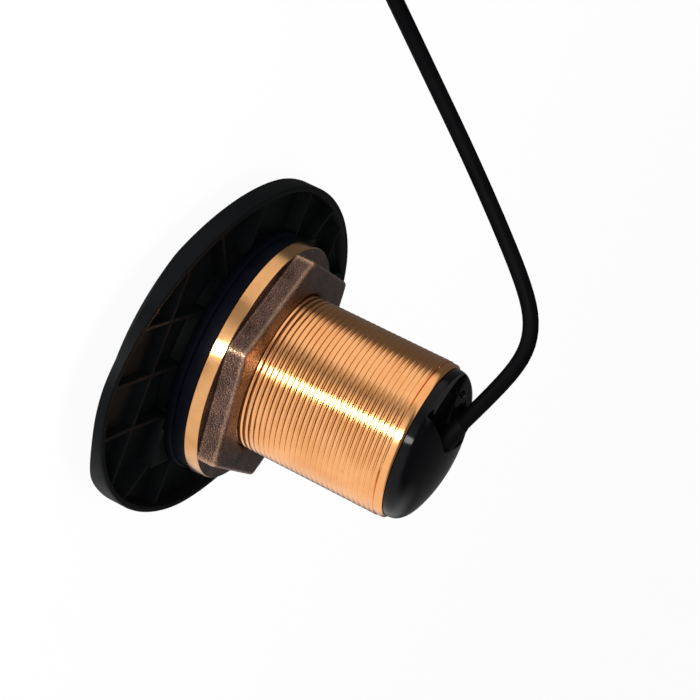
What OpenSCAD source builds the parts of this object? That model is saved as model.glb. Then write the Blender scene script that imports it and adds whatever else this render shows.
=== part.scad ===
// Through-hull sonar transducer: an oval ribbed flange on a threaded bronze stem.
// The acoustic face lies on z = 0, the stem stands along +Z and the flange is long along X.

/* [Flange] */
// Length of the oval flange
flange_l = 193; // [180:1:220]
// Width of the oval flange
flange_w = 129; // [122:1:150]
// Exponent of the oval outline, where 2 is an ellipse
flange_power = 1.86; // [1.8:0.02:2.4]
// Height of the flange from its flat face to its rim
flange_h = 16.5; // [16:0.5:22]
// Height of the upright band below the rim
rim_band_h = 7; // [5:0.5:8]
// Depth of the full curve that the underside is cut from
belly_d = 15; // [14:0.5:30]
// Width of the rim's lip
lip_w = 2.4; // [2:0.1:5]
// Thickness of the skin round the recess
skin_t = 3.4; // [2:0.2:5]
// Thickness of the block below the recess
block_t = 10; // [9.5:0.5:12]
// Thickness of a rib
rib_t = 1.6; // [1:0.1:2.5]
// How far the ribs stop below the rim
rib_drop = 1.5; // [0.5:0.1:2.5]
// Spacing of the ribs beside the stem
rib_pitch = 20; // [16:0.5:24]
// Distance of the outer cross ribs from the stem's axis
cross_rib_x = 66; // [60:1:74]
// Diameter of the boss round the stem
boss_d = 88; // [84:1:92]
// Reach of the two corner lugs from the stem's axis
lug_reach = 57; // [52:1:60]

/* [Acoustic face] */
// Length of the oval pocket in the underside
pocket_l = 108; // [100:1:112]
// Width of the oval pocket in the underside
pocket_w = 69; // [64:1:74]
// Thickness of the urethane below the elements
face_t = 2.5; // [2:0.1:3]
// Thickness of the piezo elements
element_t = 3.4; // [2:0.1:4]
// Thickness of the backing sheet
backing_t = 1.1; // [0.8:0.1:1.5]
// Diameter of the round element
disc_d = 42; // [30:1:44]
// Offset of the round element from the stem's axis
disc_x = 18; // [16:0.5:22]
// Length of a bar element
bar_l = 34; // [20:1:34]
// Width of a bar element
bar_w = 8; // [5:0.5:9]
// Spacing of the bar elements
bar_pitch = 15; // [12:0.5:15]
// Start of the bar elements from the stem's axis
bar_x = 6; // [5:0.5:8]
// Diameter of the temperature probe
probe_d = 6; // [4:0.5:7]
// Distance of the temperature probe from the pocket's end
probe_in = 8.5; // [7:0.5:10]

/* [Stem] */
// Outside diameter of the thread
stem_d = 60.3; // [56:0.1:62]
// Diameter of the stem's bore
stem_bore_d = 50; // [46:0.5:52]
// Height of the stem's end above the acoustic face
stem_top = 93.2; // [88:0.2:120]
// Chamfer at the stem's end
stem_chamfer = 0.9; // [0.4:0.1:1.5]
// Pitch of the thread
thread_pitch = 2.117; // [1.9:0.001:3.2]
// Depth of the thread
thread_depth = 1.1; // [0.6:0.1:1.4]
// Length of the plain end above the thread
thread_stop = 1.6; // [1.6:0.1:4]
// Length of the oval foot inside the flange
foot_l = 84; // [80:0.5:85]
// Width of the oval foot inside the flange
foot_w = 66; // [64:0.2:67]
// Thickness of the foot
foot_t = 4; // [3:0.1:4.4]
// Distance of the foot's screws from the middle along the foot
screw_x = 37; // [36:0.2:38]
// Distance of the foot's screws from the middle across the foot
screw_y = 7; // [5:0.5:9]
// Diameter of the screws
screw_d = 3; // [2.5:0.1:3.2]
// Length of the screws
screw_l = 6.6; // [5:0.2:7]

/* [Washers and nut] */
// Thickness of the soft gasket
gasket_t = 3.4; // [2:0.1:5]
// How far the soft gasket stands out past the nut's foot
gasket_out = 0.4; // [0:0.1:2]
// Thickness of the hard washer
washer_t = 4.8; // [3:0.1:7]
// How far the hard washer stands back from the edge of the nut's foot
washer_back = 0.6; // [0:0.1:2]
// Diameter of the nut's round foot
nut_foot_d = 92.8; // [88:0.2:98]
// Height of the nut's round foot
nut_foot_h = 5.3; // [4:0.1:8]
// Height of the whole nut
nut_h = 12.8; // [11:0.1:20]
// Width of the nut across its flats
nut_flats = 80; // [76:0.5:84]
// Width of the nut across its rounded corners
nut_corners = 90.4; // [87:0.2:94]
// Turn of the nut about the stem
nut_turn = 43.2; // [0:0.2:60]

/* [End cap] */
// Diameter of the cap
cap_d = 57.5; // [54:0.1:58.5]
// Height of the cap's upright edge
cap_edge_h = 4; // [3:0.1:6]
// Height of the cap's dome above the stem's end
cap_h = 12; // [10:0.2:15]
// Length of the cap's plug inside the stem
plug_l = 10; // [8:0.5:16]
// Distance of the cable pocket's right wall from the stem's axis
notch_right = 8; // [7:0.2:9]
// Bearing of the pocket's left wall seen from above
notch_bearing = 134; // [128:1:140]
// Height of the pocket's floor above the stem's end
notch_floor = 3.3; // [2.5:0.1:3.6]

/* [Board] */
// Width of the circuit board
board_w = 40; // [30:1:44]
// Height of the circuit board
board_h = 41; // [30:1:44]
// Thickness of the circuit board
board_t = 1.6; // [1:0.1:2]
// Outside diameter of the transformer's ring
ring_d = 20; // [14:0.5:24]
// Height of the transformer's ring off the board
ring_h = 7; // [5:0.5:9]

/* [Cable] */
// Diameter of the cable
cable_d = 5.7; // [5:0.1:6]
// Diameter of the bush that the cable leaves by
bush_d = 8.6; // [8:0.1:9.4]
// Diameter of the coil at the middle of its turns
coil_d = 90; // [80:1:94]
// Width of the bundle of turns
bundle_w = 31; // [26:0.5:32]
// Height of the bundle of turns
bundle_h = 25.4; // [22:0.2:30]
// Width of the tie
tie_w = 12; // [8:0.5:16]
// Thickness of the tie
tie_t = 1.2; // [0.8:0.1:1.5]

/* [Connector] */
// Diameter of the connector's body
plug_d = 16; // [15:0.2:18]
// Length of the connector's body
plug_body_l = 38; // [34:0.5:44]
// Diameter of the coupling ring
collar_d = 21; // [20.5:0.2:24]
// Length of the coupling ring
collar_l = 19; // [14:0.5:22]
// Length of the boot
boot_l = 27; // [20:0.5:34]
// Number of pins in the outer circle
pin_count = 8; // [5:1:9]
// Diameter of a pin
pin_d = 1.2; // [0.8:0.1:1.4]

/* [Hidden] */
$fn = 96;

// clearances: close between bonded pieces, loose on the thread, and a cutter's overshoot
close = 0.1;
loose = 0.3;
over = 1;

// heights up the stack
band_z = flange_h - rim_band_h;
seat_z = flange_h - rib_drop;
element_z = face_t;
backing_z = face_t + element_t;
roof_z = backing_z + backing_t;
foot_z = roof_z + foot_t;
washer_z = seat_z + gasket_t;
nut_z = washer_z + washer_t;
stem_r = stem_d / 2;
bore_r = stem_bore_d / 2;
gasket_d = nut_foot_d + 2 * gasket_out;
washer_d = nut_foot_d - 2 * washer_back;
probe_x = pocket_l / 2 - probe_in;

// oval sections
oval_sides = 96;
function power(v, n) = sign(v) * pow(abs(v), n);
function oval(half_l, half_w) = [
    for (i = [0 : oval_sides - 1])
        let (a = 360 * i / oval_sides)
        [half_l * power(cos(a), 2 / flange_power), half_w * power(sin(a), 2 / flange_power)]];
function belly(z) = z >= band_z ? 1 : sqrt(1 - (band_z - z) / belly_d);
function flange_oval(z, inset) = oval(flange_l / 2 * belly(z) - inset, flange_w / 2 * belly(z) - inset);

// closed skin through rings of points that all have the same number of sides
module skin(rings) {
    sides = len(rings[0]);
    last = len(rings) - 1;
    points = [for (ring = rings) for (p = ring) p];
    walls = [
        for (k = [0 : last - 1])
            for (i = [0 : sides - 1])
                let (j = (i + 1) % sides, low = k * sides, high = low + sides)
                each [[low + i, high + i, high + j], [low + i, high + j, low + j]]];
    bottom = [for (i = [0 : sides - 1]) i];
    top = [for (i = [sides - 1 : -1 : 0]) last * sides + i];
    polyhedron(points, concat(walls, [bottom, top]), convexity = 8);
}

// round tube along a list of points, whose heading never lies along the given aside vector
function unit(v) = v / norm(v);
function heading(path, i) = unit(path[min(i + 1, len(path) - 1)] - path[max(i - 1, 0)]);
function tube_ring(at, along, r, sides, aside) =
    let (side = unit(cross(aside, along)), up = cross(along, side))
    [for (k = [0 : sides - 1])
        let (a = 360 * k / sides) at + r * (side * cos(a) + up * sin(a))];
module tube(path, r, sides, aside) {
    skin([for (i = [0 : len(path) - 1]) tube_ring(path[i], heading(path, i), r, sides, aside)]);
}

function raise(outline, z) = [for (p = outline) [p.x, p.y, z]];

rim_chamfer = 0.6;
belly_steps = 6;
module flange_outside(inset) {
    skin(concat(
        [for (k = [0 : belly_steps]) let (z = band_z * k / belly_steps) raise(flange_oval(z, inset), z)],
        [raise(flange_oval(flange_h, inset), flange_h - rim_chamfer),
         raise(flange_oval(flange_h, inset + rim_chamfer), flange_h)]));
}

recess_steps = 3;
module flange_recess() {
    skin(concat(
        [for (k = [0 : recess_steps])
            let (t = k / recess_steps, z = block_t + (flange_h - block_t) * t)
            raise(flange_oval(z, skin_t + (lip_w - skin_t) * t), z)],
        [raise(flange_oval(flange_h, lip_w), flange_h + over)]));
}

// one rib on the recess floor, through the middle at an angle, set off to one side
module rib(angle, offset) {
    rotate(angle)
        translate([-flange_l / 2, offset - rib_t / 2, block_t - over])
            cube([flange_l, rib_t, seat_z - block_t + over]);
}

module ribs() {
    for (side = [-1 : 1]) rib(0, side * rib_pitch);
    for (side = [-1, 1]) {
        rib(90, side * rib_pitch);
        rib(90, side * cross_rib_x);
        rib(side * 45, 0);
    }
}

// corner lug: a small triangular web that leans on the boss
lug_spread = 24;
lug_drop = 0.4;
module lug(bearing) {
    rim = boss_d / 2 - over;
    difference() {
        rotate(bearing)
            translate([0, 0, block_t - over])
                linear_extrude(flange_h - lug_drop - block_t + over)
                    polygon([
                        [rim * cos(lug_spread), -rim * sin(lug_spread)],
                        [lug_reach, 0],
                        [rim * cos(lug_spread), rim * sin(lug_spread)]]);
        translate([0, 0, seat_z]) cylinder(d = gasket_d + 2 * loose, h = flange_h);
    }
}

module at_screws() {
    for (x = [-screw_x, screw_x], y = [-screw_y, screw_y]) translate([x, y, 0]) children();
}

groove_h = 1.9;
groove_d = 1.95;
groove_z = (foot_z + seat_z) / 2 + 0.3;

module flange_housing() {
    color([0.07, 0.07, 0.08])
    difference() {
        union() {
            difference() {
                flange_outside(0);
                flange_recess();
            }
            intersection() {
                union() {
                    ribs();
                    for (bearing = [45, 225]) lug(bearing);
                }
                flange_outside(lip_w / 2);
            }
            translate([0, 0, block_t - over]) cylinder(d = boss_d, h = seat_z - block_t + over);
        }
        translate([0, 0, -over]) linear_extrude(roof_z + over) polygon(oval(pocket_l / 2, pocket_w / 2));
        translate([0, 0, roof_z - over]) linear_extrude(foot_t + over) foot_plan(close);
        cylinder(r = stem_r + close, h = flange_h + over);
        translate([0, 0, groove_z - groove_h / 2]) cylinder(r = stem_r + close + groove_d, h = groove_h);
        at_screws() translate([0, 0, roof_z]) cylinder(d = screw_d + close, h = screw_l + close);
    }
}

// outline of each element in plan, grown by a clearance
bar_rows = [0, 1, -1];
module disc_plan(grow) { translate([-disc_x, 0]) circle(d = disc_d + 2 * grow); }
module bar_plan(row, grow) {
    translate([bar_x - grow, row * bar_pitch - bar_w / 2 - grow])
        square([bar_l + 2 * grow, bar_w + 2 * grow]);
}
module probe_plan(grow) { translate([-probe_x, 0]) circle(d = probe_d + 2 * grow); }

module acoustic_window() {
    color([0.10, 0.10, 0.11])
    difference() {
        linear_extrude(backing_z) polygon(oval(pocket_l / 2 - close, pocket_w / 2 - close));
        translate([0, 0, element_z]) linear_extrude(element_t + over) {
            disc_plan(close);
            for (row = bar_rows) bar_plan(row, close);
        }
        translate([0, 0, -over]) linear_extrude(backing_z + 2 * over) probe_plan(close);
    }
}

module piezo_disc() {
    color([0.85, 0.82, 0.72]) translate([0, 0, element_z]) linear_extrude(element_t) disc_plan(0);
}

module piezo_bar(row) {
    color([0.85, 0.82, 0.72]) translate([0, 0, element_z]) linear_extrude(element_t) bar_plan(row, 0);
}

module temperature_probe() {
    color([0.72, 0.52, 0.28]) linear_extrude(backing_z) probe_plan(0);
}

// wires from the elements: where each leaves its element and where it meets the board
lead_d = 1.4;
lead_gap = 0.05;
lead_in = 5;
lead_step = 4;
lead_off = 1;
lead_y = board_t / 2 + lead_d / 2 + lead_gap;
lead_x = bar_x + lead_in;
lead_side = bar_pitch - lead_off;
lead_feet = [[-lead_x, lead_y], [lead_x, lead_y], [lead_x, lead_side], [lead_x, -lead_side]];
lead_far = lead_x + lead_step;
lead_heads = [[-lead_x, lead_y], [lead_x, lead_y], [lead_far, lead_y], [lead_far, -lead_y]];

module backing_sheet() {
    color([0.45, 0.30, 0.18])
    translate([0, 0, backing_z])
        difference() {
            linear_extrude(backing_t) polygon(oval(pocket_l / 2 - close, pocket_w / 2 - close));
            for (foot = lead_feet)
                translate([foot.x, foot.y, -over]) cylinder(d = lead_d + 1, h = backing_t + 2 * over);
        }
}

module foot_plan(grow) { polygon(oval(foot_l / 2 + grow, foot_w / 2 + grow)); }

// the thread stands as rings at its pitch, each a crest with a root above it
thread_turns = floor((stem_top - thread_stop - seat_z) / thread_pitch);
thread_top = stem_top - thread_stop;
thread_low = thread_top - thread_turns * thread_pitch;
thread_rings = [
    for (k = [0 : thread_turns - 1])
        let (z = thread_low + k * thread_pitch)
        each [[stem_r, z], [stem_r - thread_depth, z + thread_pitch / 2]]];

module bronze_stem() {
    color([0.80, 0.56, 0.28])
    difference() {
        union() {
            translate([0, 0, roof_z]) linear_extrude(foot_t) foot_plan(0);
            rotate_extrude()
                polygon(concat(
                    [[0, roof_z], [stem_r, roof_z]],
                    thread_rings,
                    [[stem_r, thread_top], [stem_r, stem_top - stem_chamfer],
                     [stem_r - stem_chamfer, stem_top], [0, stem_top]]));
        }
        translate([0, 0, roof_z - over]) cylinder(r = bore_r, h = stem_top - roof_z + 2 * over);
        at_screws() {
            translate([0, 0, roof_z - over]) cylinder(d = screw_d + 2 * close, h = foot_t + 2 * over);
            translate([0, 0, roof_z]) screw_head(close);
        }
    }
}

// countersunk head, wide end down
module screw_head(grow) {
    cylinder(r1 = screw_d + grow, r2 = screw_d / 2 + grow, h = screw_d / 2);
}

module foot_screws() {
    color("silver")
    at_screws() translate([0, 0, roof_z]) {
        screw_head(0);
        cylinder(d = screw_d, h = screw_l);
    }
}

module stem_o_ring() {
    color([0.05, 0.05, 0.05])
    translate([0, 0, groove_z])
        rotate_extrude() translate([stem_r + close + groove_d / 2, 0]) circle(d = groove_h, $fn = 32);
}

// flat ring on the stack, with a softened outer edge
module washer(z, d, t, edge) {
    translate([0, 0, z])
        rotate_extrude()
            polygon([
                [stem_r + loose, 0], [d / 2 - edge, 0], [d / 2, edge], [d / 2, t - edge], [d / 2 - edge, t],
                [stem_r + loose, t]]);
}

gasket_edge = 0.6;
washer_edge = 0.4;
module rubber_gasket() { color([0.05, 0.05, 0.07]) washer(seat_z, gasket_d, gasket_t, gasket_edge); }
module hull_washer() { color([0.04, 0.05, 0.09]) washer(washer_z, washer_d, washer_t, washer_edge); }

nut_edge = 0.7;
nut_shoulder = 1.6;
module hull_nut() {
    color([0.62, 0.42, 0.24])
    translate([0, 0, nut_z])
        difference() {
            union() {
                cylinder(d = nut_foot_d, h = nut_foot_h - nut_edge);
                translate([0, 0, nut_foot_h - nut_edge])
                    cylinder(d1 = nut_foot_d, d2 = nut_foot_d - 2 * nut_edge, h = nut_edge);
                rotate(nut_turn) intersection() {
                    cylinder(d = nut_flats / cos(30), h = nut_h, $fn = 6);
                    rotate_extrude()
                        polygon([
                            [0, 0], [nut_corners / 2, 0], [nut_corners / 2, nut_h - nut_shoulder],
                            [nut_corners / 2 - 2 * nut_shoulder, nut_h], [0, nut_h]]);
                }
            }
            translate([0, 0, -over]) cylinder(r = stem_r + loose, h = nut_h + 2 * over);
        }
}

// line that the cable leaves by: a point on it and its slope above level
exit_x = -4;
exit_y = 10.6;
exit_rise = 10;
exit_slope = 22;
bush_in = 14;
bush_out = 3.5;
cable_in = 11;
module at_exit() {
    translate([exit_x, exit_y, stem_top + exit_rise]) rotate([exit_slope - 90, 0, 0]) children();
}

dome_power = 0.8;
dome_steps = 14;
function dome(r) = cap_edge_h + (cap_h - cap_edge_h) * pow(1 - pow(2 * r / cap_d, 2), dome_power);

// pocket in plan: a corner near the middle, a right wall along Y and a left wall on its bearing
notch_corner = [-10.8, 3.5];
module notch_plan() {
    polygon([
        notch_corner, [notch_right, notch_corner.y], [notch_right, cap_d],
        notch_corner + cap_d * [cos(notch_bearing), sin(notch_bearing)]]);
}

// small hole in the pocket's right wall
vent_d = 2;
vent_y = 19.4;
vent_rise = 4.8;
vent_l = 3;
module vent() {
    translate([notch_right - over, vent_y, stem_top + vent_rise])
        rotate([0, 90, 0]) cylinder(d = vent_d, h = vent_l + over, $fn = 24);
}

seal_d = 1.8;
seal_z = stem_top - plug_l / 2;
slot_l = 2.8;
lead_hole_d = 5;
lead_hole_up = 4.5;
core_x = exit_x;
core_d = 2.6;
core_y = -(board_t / 2 + core_d / 2 + lead_gap);
module end_cap() {
    color([0.03, 0.03, 0.03])
    difference() {
        union() {
            translate([0, 0, stem_top])
                rotate_extrude()
                    polygon(concat(
                        [[0, 0], [cap_d / 2, 0]],
                        [for (k = [0 : dome_steps])
                            let (r = cap_d / 2 * sin(90 * (1 - k / dome_steps))) [r, dome(r)]]));
            translate([0, 0, stem_top - plug_l]) cylinder(r = bore_r - close, h = plug_l + over);
        }
        translate([0, 0, stem_top + notch_floor]) linear_extrude(cap_h) notch_plan();
        vent();
        at_exit() translate([0, 0, -bush_in]) cylinder(d = bush_d + close, h = bush_in + bush_out + over);
        translate([core_x, core_y, stem_top - plug_l - over])
            cylinder(d = lead_hole_d, h = plug_l + over + lead_hole_up);
        translate([-board_w / 2 - close, -board_t / 2 - close, stem_top - plug_l - over])
            cube([board_w + 2 * close, board_t + 2 * close, slot_l + over]);
        translate([0, 0, seal_z]) rotate_extrude() translate([bore_r - seal_d + close, -seal_d / 2])
            square([seal_d + over, seal_d]);
    }
}

module cap_o_ring() {
    color([0.05, 0.05, 0.05])
    translate([0, 0, seal_z])
        rotate_extrude()
            translate([bore_r - seal_d / 2 + close / 2, 0]) circle(d = seal_d - 2 * close, $fn = 32);
}

bush_tip_d = 6.9;
bush_taper = 6;
module cable_grommet() {
    color([0.04, 0.04, 0.04])
    at_exit() difference() {
        union() {
            translate([0, 0, -bush_in]) cylinder(d = bush_d, h = bush_in + bush_out - bush_taper);
            translate([0, 0, bush_out - bush_taper]) cylinder(d1 = bush_d, d2 = bush_tip_d, h = bush_taper);
        }
        translate([0, 0, -bush_in - over])
            cylinder(d = cable_d + 2 * close, h = bush_in + bush_out + 2 * over);
    }
}

board_top = stem_top - plug_l + slot_l;
board_low = board_top - board_h;
module circuit_board() {
    color([0.10, 0.35, 0.18])
        translate([-board_w / 2, -board_t / 2, board_low]) cube([board_w, board_t, board_h]);
}

part_z = board_low + board_h * 0.42;
ring_hole = 0.5;
module matching_transformer() {
    color([0.62, 0.36, 0.16])
    translate([0, board_t / 2, part_z]) rotate([-90, 0, 0])
        difference() {
            cylinder(d = ring_d, h = ring_h);
            translate([0, 0, -over]) cylinder(d = ring_d * ring_hole, h = ring_h + 2 * over);
        }
}

capacitor = [12, 6, 10];
module film_capacitor() {
    color([0.70, 0.20, 0.12])
        translate([-capacitor.x / 2, -board_t / 2 - capacitor.y, part_z - capacitor.z / 2]) cube(capacitor);
}

lead_overlap = 6;
lead_bend = 20;
lead_sides = 8;
module element_leads() {
    color("white")
    for (i = [0 : len(lead_feet) - 1]) {
        foot = lead_feet[i];
        head = lead_heads[i];
        tube(
            [[foot.x, foot.y, backing_z + lead_gap], [foot.x, foot.y, roof_z + lead_bend],
             [head.x, head.y, board_low], [head.x, head.y, board_low + lead_overlap]],
            lead_d / 2, lead_sides, [1, 0, 0]);
    }
}

core_overlap = 9;
core_up = 0.4;
module core_leads() {
    color("white")
        translate([core_x, core_y, board_top - core_overlap])
            cylinder(d = core_d, h = core_overlap + plug_l - slot_l + core_up, $fn = 24);
}

// route of the cable from inside the bush, over its own arch and down to the coil
cable_r = cable_d / 2;
coil_x = 0;
coil_y = 210;
coil_out = (coil_d + bundle_w) / 2;
side_x = coil_x - coil_out - cable_r - close;
cable_start = [
    exit_x, exit_y - cable_in * cos(exit_slope), stem_top + exit_rise - cable_in * sin(exit_slope)];
cable_route = [
    cable_start, [-4, 10.6, 103.2], [-4, 26.6, 109.7], [-4, 39, 114.1], [-4, 48, 115.4], [-4, 56, 113.6],
    [-4, 63, 109.4], [-4, 71, 102.2], [-4.5, 82, 91], [-6, 95, 77.5], [-9, 108, 64], [-14, 121, 51],
    [-21, 134, 39], [-30.3, 147, 28], [-41, 160, 19], [-51.5, 172, 12], [-58.6, 184, 7], [-62.5, 195, 4],
    [side_x - 0.2, 204, cable_r + 0.4], [side_x - 0.2, coil_y + 4, cable_r + 0.1]];

// route of the last stretch: off the coil's outer side and down to the connector
connector_x = 16;
tail_gap = 0.6;
connector_y = coil_y + coil_out + cable_r + tail_gap;
connector_z = collar_d / 2;
tail_r = coil_out + cable_r + tail_gap;
function on_coil(bearing, z) = [coil_x + tail_r * cos(bearing), coil_y + tail_r * sin(bearing), z];
tail_route = [
    on_coil(166, 21), on_coil(153, 20), on_coil(140, 18.4), on_coil(127, 16.4), on_coil(114, 14.2),
    on_coil(101, 12.2), [connector_x - 12, connector_y, 10.9], [connector_x + 4, connector_y, connector_z]];

cable_sides = 10;
module cable() { color([0.05, 0.05, 0.055]) tube(cable_route, cable_r, cable_sides, [0, 0, 1]); }
module cable_tail() { color([0.05, 0.05, 0.055]) tube(tail_route, cable_r, cable_sides, [0, 0, 1]); }

tie_bearing = 35;
bundle_round = 5;
module bundle_plan(grow) {
    polygon([
        for (corner = [[1, 0], [1, 1], [-1, 1], [-1, 0]], k = [0 : 6])
            let (
                turn = corner == [1, 0] ? -90 : corner == [1, 1] ? 0 : corner == [-1, 1] ? 90 : 180,
                a = turn + 90 * k / 6,
                reach = bundle_round + grow)
            [corner.x * (bundle_w / 2 - bundle_round) + reach * cos(a),
             bundle_round + corner.y * (bundle_h - 2 * bundle_round) + reach * sin(a)]]);
}

// the bundle is pressed in by the tie's thickness where the tie goes round it
module at_tie() {
    translate([coil_x, coil_y, 0]) rotate(tie_bearing)
        translate([coil_d / 2, 0, 0]) rotate([90, 0, 0]) children();
}
module cable_coil() {
    color([0.05, 0.05, 0.055])
    difference() {
        translate([coil_x, coil_y, 0]) rotate_extrude() translate([coil_d / 2, 0]) bundle_plan(0);
        at_tie() translate([0, 0, -tie_w / 2 - close]) linear_extrude(tie_w + 2 * close) difference() {
            translate([-bundle_w, -over]) square([2 * bundle_w, bundle_h + 2 * over]);
            bundle_plan(-tie_t - close);
        }
    }
}

module coil_tie() {
    color([0.06, 0.06, 0.06])
    at_tie() translate([0, 0, -tie_w / 2]) linear_extrude(tie_w) difference() {
        bundle_plan(0);
        bundle_plan(-tie_t);
    }
}

// connector lies along +X on the floor beside the coil, its axis through the coupling ring's centre
module at_connector(along) {
    translate([connector_x + along, connector_y, connector_z]) rotate([0, 90, 0]) children();
}

boot_tip_d = 8;
module connector_boot() {
    color([0.05, 0.05, 0.05])
    at_connector(0) difference() {
        cylinder(d1 = boot_tip_d, d2 = plug_d - 1, h = boot_l);
        translate([0, 0, -over]) cylinder(d = cable_d + 2 * close, h = boot_l - over);
    }
}

socket_d = plug_d - 3;
socket_depth = 9;
flange_t = 3;
stop_d = collar_d - 1.4;
module connector_body() {
    color([0.08, 0.08, 0.085])
    at_connector(boot_l) difference() {
        union() {
            cylinder(d = plug_d, h = plug_body_l);
            translate([0, 0, plug_body_l - collar_l - flange_t - 2]) cylinder(d = stop_d, h = flange_t);
        }
        translate([0, 0, plug_body_l - socket_depth]) cylinder(d = socket_d, h = socket_depth + over);
    }
}

grip_count = 24;
grip_d = 1.2;
module connector_collar() {
    color([0.10, 0.10, 0.105])
    at_connector(boot_l + plug_body_l - collar_l - 1.8) difference() {
        cylinder(d = collar_d, h = collar_l);
        translate([0, 0, -over]) cylinder(d = plug_d + 2 * close, h = collar_l + 2 * over);
        for (i = [0 : grip_count - 1])
            rotate(360 * i / grip_count) translate([collar_d / 2, 0, -over])
                cylinder(d = grip_d, h = collar_l * 0.7 + over, $fn = 24);
    }
}

pin_l = 7;
pin_circle = socket_d * 0.62;
module connector_pins() {
    color([0.85, 0.68, 0.30])
    at_connector(boot_l + plug_body_l - socket_depth) {
        cylinder(d = pin_d, h = pin_l, $fn = 24);
        for (i = [0 : pin_count - 1])
            rotate(360 * i / pin_count)
                translate([pin_circle / 2, 0, 0]) cylinder(d = pin_d, h = pin_l, $fn = 24);
    }
}

flange_housing();
acoustic_window();
piezo_disc();
piezo_bar(0);  // piezo_bar_down
piezo_bar(1);  // piezo_bar_port
piezo_bar(-1);  // piezo_bar_starboard
temperature_probe();
backing_sheet();
bronze_stem();
foot_screws();
stem_o_ring();
rubber_gasket();
hull_washer();
hull_nut();
end_cap();
cap_o_ring();
cable_grommet();
circuit_board();
matching_transformer();
film_capacitor();
element_leads();
core_leads();
cable();
cable_coil();
cable_tail();
coil_tie();
connector_boot();
connector_body();
connector_collar();
connector_pins();
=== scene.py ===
import math

import bmesh
import bpy
import numpy as np
from mathutils import Matrix, Vector, noise


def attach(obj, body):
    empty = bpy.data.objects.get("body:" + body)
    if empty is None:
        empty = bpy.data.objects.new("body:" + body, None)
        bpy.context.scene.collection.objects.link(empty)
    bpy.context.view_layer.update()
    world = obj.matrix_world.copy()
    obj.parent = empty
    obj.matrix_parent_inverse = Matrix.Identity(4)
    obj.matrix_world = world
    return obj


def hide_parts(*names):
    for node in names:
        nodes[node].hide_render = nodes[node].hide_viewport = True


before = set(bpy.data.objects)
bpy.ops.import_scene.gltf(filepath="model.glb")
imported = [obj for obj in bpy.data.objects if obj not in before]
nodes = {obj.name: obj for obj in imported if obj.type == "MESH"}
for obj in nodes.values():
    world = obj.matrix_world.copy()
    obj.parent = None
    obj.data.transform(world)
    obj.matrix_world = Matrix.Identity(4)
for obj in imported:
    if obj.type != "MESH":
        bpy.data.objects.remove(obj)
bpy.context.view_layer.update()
scene = bpy.context.scene
mm = 0.001
print("frame loaded:", len(nodes), "nodes")


def hexColour(code):
    channels = [int(code[i:i + 2], 16) / 255 for i in (1, 3, 5)]
    return [c / 12.92 if c <= 0.04045 else ((c + 0.055) / 1.055) ** 2.4 for c in channels] + [1]


# a kind without Node in its name is a shader's; a setting is a colour ramp's stops, an input's value or a
# property; a link is a socket or a node's first output
def addNode(tree, kind, settings=None, links=None):
    node = tree.nodes.new(kind if "Node" in kind else "ShaderNode" + kind)
    for name, value in (settings or {}).items():
        if name == "stops":
            for stop, (position, code) in zip(node.color_ramp.elements, value):
                stop.position = position
                stop.color = hexColour(code)
        elif isinstance(name, int) or name in node.inputs:
            node.inputs[name].default_value = value
        else:
            setattr(node, name, value)
    for name, source in (links or {}).items():
        socket = source if isinstance(source, bpy.types.NodeSocket) else source.outputs[0]
        tree.links.new(socket, node.inputs[name])
    return node


def newObject(name, verts, faces, smoothAngle=None):
    mesh = bpy.data.meshes.new(name)
    mesh.from_pydata([Vector(v) * mm for v in verts], [], faces)
    mesh.update()
    piece = bpy.data.objects.new(name, mesh)
    scene.collection.objects.link(piece)
    if smoothAngle:
        cleanUp(piece, smoothAngle)
    return piece


def shade(piece, smoothAngle):
    piece.data.polygons.foreach_set("use_smooth", [True] * len(piece.data.polygons))
    piece.data.set_sharp_from_angle(angle=math.radians(smoothAngle))
    piece.data.update()


def cleanUp(piece, smoothAngle):
    bm = bmesh.new()
    bm.from_mesh(piece.data)
    bmesh.ops.remove_doubles(bm, verts=bm.verts, dist=1e-7)
    bmesh.ops.dissolve_degenerate(bm, edges=bm.edges, dist=1e-7)
    bmesh.ops.recalc_face_normals(bm, faces=bm.faces)
    bm.to_mesh(piece.data)
    bm.free()
    shade(piece, smoothAngle)


def bakeModifiers(piece):
    graph = bpy.context.evaluated_depsgraph_get()
    mesh = bpy.data.meshes.new_from_object(piece.evaluated_get(graph))
    piece.modifiers.clear()
    piece.data = mesh


def softenEdges(piece, width, segments, fromAngle):
    bevel = piece.modifiers.new("edge", "BEVEL")
    bevel.width = width * mm
    bevel.segments = segments
    bevel.limit_method = "ANGLE"
    bevel.angle_limit = math.radians(fromAngle)
    bakeModifiers(piece)


def cutBy(piece, cutter, operation="DIFFERENCE"):
    modifier = piece.modifiers.new("cut", "BOOLEAN")
    modifier.operation = operation
    modifier.solver = "EXACT"
    modifier.object = cutter
    bakeModifiers(piece)
    bpy.data.objects.remove(cutter)


# rings of points, each ring the same count, joined by quads; loop closes the last ring on the first
def ringFaces(ringCount, sides, loop):
    faces = []
    for k in range(ringCount if loop else ringCount - 1):
        low, high = k * sides, (k + 1) % ringCount * sides
        for i in range(sides):
            j = (i + 1) % sides
            faces.append((low + i, low + j, high + j, high + i))
    return faces


# two ends and the sides between them, for two rings of points
def prismFaces(count):
    faces = [tuple(range(count - 1, -1, -1)), tuple(range(count, 2 * count))]
    return faces + [(i, (i + 1) % count, count + (i + 1) % count, count + i) for i in range(count)]


def boxObject(name, low, high):
    plan = ((low[0], low[1]), (high[0], low[1]), (high[0], high[1]), (low[0], high[1]))
    return newObject(name, [(x, y, z) for z in (low[2], high[2]) for x, y in plan], prismFaces(4))


def polar(r, angle):
    return r * math.cos(angle), r * math.sin(angle)


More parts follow.
